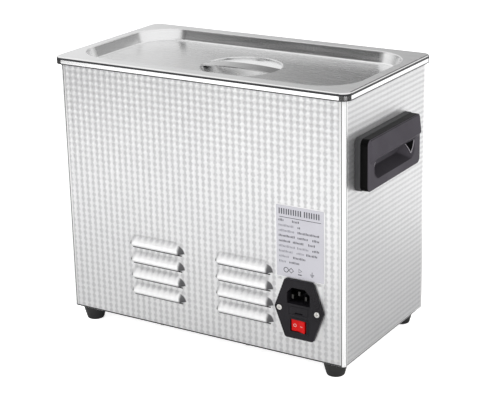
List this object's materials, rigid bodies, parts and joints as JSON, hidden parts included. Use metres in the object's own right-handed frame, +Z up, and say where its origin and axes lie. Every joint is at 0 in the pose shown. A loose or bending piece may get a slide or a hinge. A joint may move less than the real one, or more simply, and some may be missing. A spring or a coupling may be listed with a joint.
{
  "type": "ultrasonic cleaner",
  "caption": "Bench-top ultrasonic cleaning bath: embossed steel box on rubber feet, drawn tank with a sunk lift-off lid, end handles, rear louvres and mains inlet with rocker switch.",
  "frame": {"origin": "on the floor under the middle of the housing", "axes": "+X to the user's right along the length, +Y to the rear with the mains inlet, +Z up"},
  "size_m": [0.3532, 0.176, 0.2779],
  "materials": {
    "embossed_steel": "embossed stainless sheet with a bright satin face",
    "pressed_steel": "satin pressed stainless sheet",
    "handle_grip_plastic": "black moulded plastic with a fine satin face",
    "handle_base_plastic": "dark grey moulded plastic",
    "inlet_plastic": "black moulded plastic",
    "rocker_plastic": "translucent red plastic",
    "nickel_plate": "plated steel",
    "lever_steel": "black dipped steel lever",
    "foot_rubber": "black rubber",
    "label_film": "pale grey printed film",
    "overlay_film": "dark printed film",
    "display_window": "dark red display window",
    "lamp_plastic": "green lamp",
    "button_plastic": "light grey button",
    "board_laminate": "green circuit board",
    "component_plastic": "black moulded components",
    "aluminium_cast": "machined aluminium",
    "transducer_steel": "machined steel",
    "piezo_ceramic": "silvered ceramic, stated as plastic",
    "ferrite": "grey ferrite, stated as iron",
    "winding": "enamelled copper, stated as brass",
    "heater_film": "film heater",
    "wire_sleeve": "insulated wire",
    "fuse_glass": "glass tube fuse with metal caps"
  },
  "bodies": {
    "cleaner": {"housing": "embossed_steel", "front_panel": "embossed_steel", "tank": "pressed_steel", "bottom_plate": "pressed_steel", "handle_grip_left": "handle_grip_plastic", "handle_grip_right": "handle_grip_plastic", "handle_base_left": "handle_base_plastic", "handle_base_right": "handle_base_plastic", "inlet_body": "inlet_plastic", "inlet_pins": "nickel_plate", "inlet_screws": "nickel_plate", "inlet_nuts": "nickel_plate", "handle_screws": "nickel_plate", "foot_screws": "nickel_plate", "foot_nuts": "nickel_plate", "floor_screws": "nickel_plate", "board_screws": "nickel_plate", "earth_stud": "nickel_plate", "transducer_bolts": "nickel_plate", "drain_valve": "nickel_plate", "foot_front_left": "foot_rubber", "foot_front_right": "foot_rubber", "foot_rear_left": "foot_rubber", "foot_rear_right": "foot_rubber", "rim_seal": "foot_rubber", "drain_hose": "foot_rubber", "rating_label": "label_film", "control_overlay": "overlay_film", "displays": "display_window", "indicator_lamps": "lamp_plastic", "control_board": "board_laminate", "generator_board": "board_laminate", "tact_switches": "component_plastic", "power_transistors": "component_plastic", "terminal_block": "component_plastic", "capacitors": "component_plastic", "temperature_sensor": "component_plastic", "heatsink": "aluminium_cast", "front_masses": "aluminium_cast", "board_standoffs": "aluminium_cast", "back_masses": "transducer_steel", "piezo_rings": "piezo_ceramic", "transformer_core": "ferrite", "transformer_coil": "winding", "heaters": "heater_film", "mains_wires": "wire_sleeve", "earth_wire": "wire_sleeve"},
    "lid": {"lid": "pressed_steel", "lid_bar": "pressed_steel"},
    "fuse_drawer": {"fuse_drawer": "inlet_plastic", "fuse": "fuse_glass"},
    "power_rocker": {"power_rocker": "rocker_plastic"},
    "drain_lever": {"drain_lever": "lever_steel", "lever_screw": "nickel_plate"},
    "button_power": {"button_power": "button_plastic"},
    "button_time_up": {"button_time_up": "button_plastic"},
    "button_time_down": {"button_time_down": "button_plastic"},
    "button_heat_up": {"button_heat_up": "button_plastic"},
    "button_heat_down": {"button_heat_down": "button_plastic"},
    "button_start": {"button_start": "button_plastic"}
  },
  "joints": [
    {"name": "lid_lift", "type": "slide", "parent": "cleaner", "child": "lid", "axis": [0, 0, 1], "range_m": [0, 0.15]},
    {"name": "fuse_drawer_slide", "type": "slide", "parent": "cleaner", "child": "fuse_drawer", "axis": [0, 1, 0], "range_m": [0, 0.018]},
    {"name": "rocker_pivot", "type": "hinge", "parent": "cleaner", "child": "power_rocker", "pos_m": [-0.1105, 0.0799, 0.048], "axis": [0, 0, 1], "range_deg": [0, 14]},
    {"name": "drain_lever_pivot", "type": "hinge", "parent": "cleaner", "child": "drain_lever", "pos_m": [0.1735, -0.04, 0.06], "axis": [1, 0, 0], "range_deg": [0, 90]},
    {"name": "button_power_press", "type": "slide", "parent": "cleaner", "child": "button_power", "axis": [0, 1, 0], "range_m": [0, 0.0008], "stiffness_N_per_m": 400},
    {"name": "button_time_up_press", "type": "slide", "parent": "cleaner", "child": "button_time_up", "axis": [0, 1, 0], "range_m": [0, 0.0008], "stiffness_N_per_m": 400},
    {"name": "button_time_down_press", "type": "slide", "parent": "cleaner", "child": "button_time_down", "axis": [0, 1, 0], "range_m": [0, 0.0008], "stiffness_N_per_m": 400},
    {"name": "button_heat_up_press", "type": "slide", "parent": "cleaner", "child": "button_heat_up", "axis": [0, 1, 0], "range_m": [0, 0.0008], "stiffness_N_per_m": 400},
    {"name": "button_heat_down_press", "type": "slide", "parent": "cleaner", "child": "button_heat_down", "axis": [0, 1, 0], "range_m": [0, 0.0008], "stiffness_N_per_m": 400},
    {"name": "button_start_press", "type": "slide", "parent": "cleaner", "child": "button_start", "axis": [0, 1, 0], "range_m": [0, 0.0008], "stiffness_N_per_m": 400}
  ]
}
